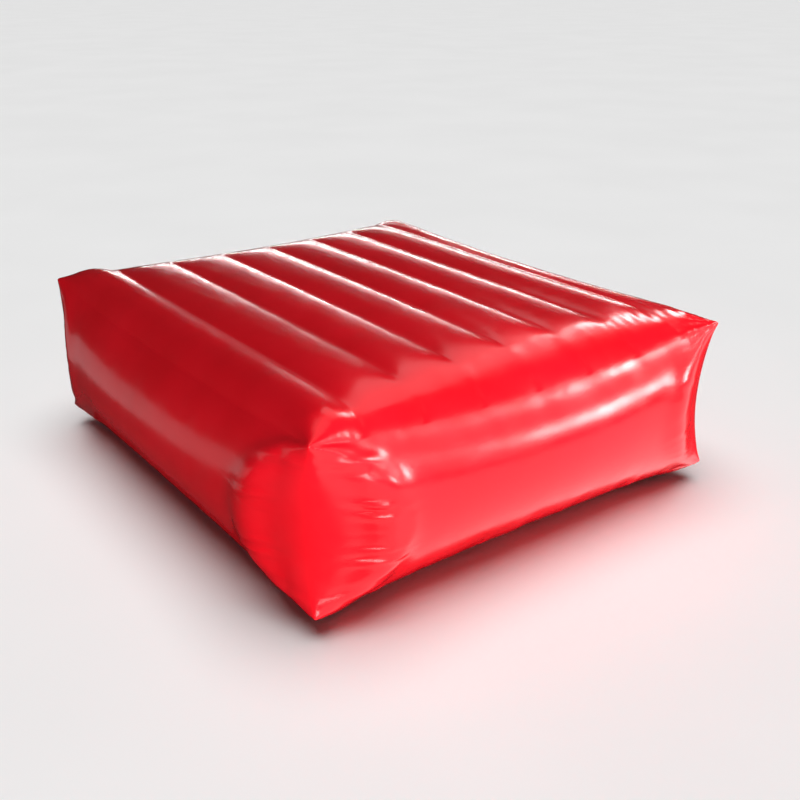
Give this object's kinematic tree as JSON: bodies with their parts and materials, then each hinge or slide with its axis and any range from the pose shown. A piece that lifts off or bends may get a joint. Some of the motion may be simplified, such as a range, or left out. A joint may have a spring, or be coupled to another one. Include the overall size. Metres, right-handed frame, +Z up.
{
  "type": "air track mat",
  "caption": "Thick inflatable tumbling block of glossy coated fabric: ribbed top and base held by inner baffles, swollen sides, pointed corners and a sprung valve with a tethered cap.",
  "frame": {"origin": "on the floor, under the middle of the mat's bounding box", "axes": "+Z up; X across the baffles; Y along the baffles, with the valve on the +Y panel; -Y is the front"},
  "size_m": [1.85, 2.04, 0.68],
  "materials": {
    "mat_fabric": "gloss",
    "baffle_fabric": "satin",
    "tape_fabric": "satin",
    "valve_plastic": "satin",
    "seal_rubber": "matte",
    "spring_steel": "satin"
  },
  "bodies": {
    "mat": {"top_sheet": "mat_fabric", "bottom_sheet": "mat_fabric", "front_panel": "mat_fabric", "back_panel": "mat_fabric", "left_panel": "mat_fabric", "right_panel": "mat_fabric", "baffle_web_1": "baffle_fabric", "baffle_web_2": "baffle_fabric", "baffle_web_3": "baffle_fabric", "baffle_web_4": "baffle_fabric", "baffle_web_5": "baffle_fabric", "baffle_web_6": "baffle_fabric", "baffle_web_7": "baffle_fabric", "upper_t_tape_1": "tape_fabric", "upper_t_tape_2": "tape_fabric", "upper_t_tape_3": "tape_fabric", "upper_t_tape_4": "tape_fabric", "upper_t_tape_5": "tape_fabric", "upper_t_tape_6": "tape_fabric", "upper_t_tape_7": "tape_fabric", "lower_t_tape_1": "tape_fabric", "lower_t_tape_2": "tape_fabric", "lower_t_tape_3": "tape_fabric", "lower_t_tape_4": "tape_fabric", "lower_t_tape_5": "tape_fabric", "lower_t_tape_6": "tape_fabric", "lower_t_tape_7": "tape_fabric", "top_front_seam_tape": "tape_fabric", "top_back_seam_tape": "tape_fabric", "top_left_seam_tape": "tape_fabric", "top_right_seam_tape": "tape_fabric", "bottom_front_seam_tape": "tape_fabric", "bottom_back_seam_tape": "tape_fabric", "bottom_left_seam_tape": "tape_fabric", "bottom_right_seam_tape": "tape_fabric", "front_left_corner_tape": "tape_fabric", "back_left_corner_tape": "tape_fabric", "front_right_corner_tape": "tape_fabric", "back_right_corner_tape": "tape_fabric", "valve_outer_washer": "seal_rubber", "valve_inner_washer": "seal_rubber", "valve_body": "valve_plastic", "valve_nut": "valve_plastic", "valve_stem_guide": "valve_plastic", "valve_spring": "spring_steel", "valve_cap_tether": "seal_rubber"},
    "poppet": {"valve_stem": "valve_plastic", "valve_seal": "seal_rubber"},
    "cap": {"valve_cap": "valve_plastic", "valve_cap_seal": "seal_rubber"}
  },
  "joints": [
    {"name": "cap_pull", "type": "slide", "parent": "mat", "child": "cap", "axis": [0, 0.9063, -0.4226], "range_m": [0, 0.12], "deforming": ["valve_cap_tether"]},
    {"name": "poppet_press", "type": "slide", "parent": "mat", "child": "poppet", "axis": [0, -0.9063, 0.4226], "range_m": [0, 0.004], "stiffness_N_per_m": 900, "springref_m": -0.004, "deforming": ["valve_spring"]}
  ]
}
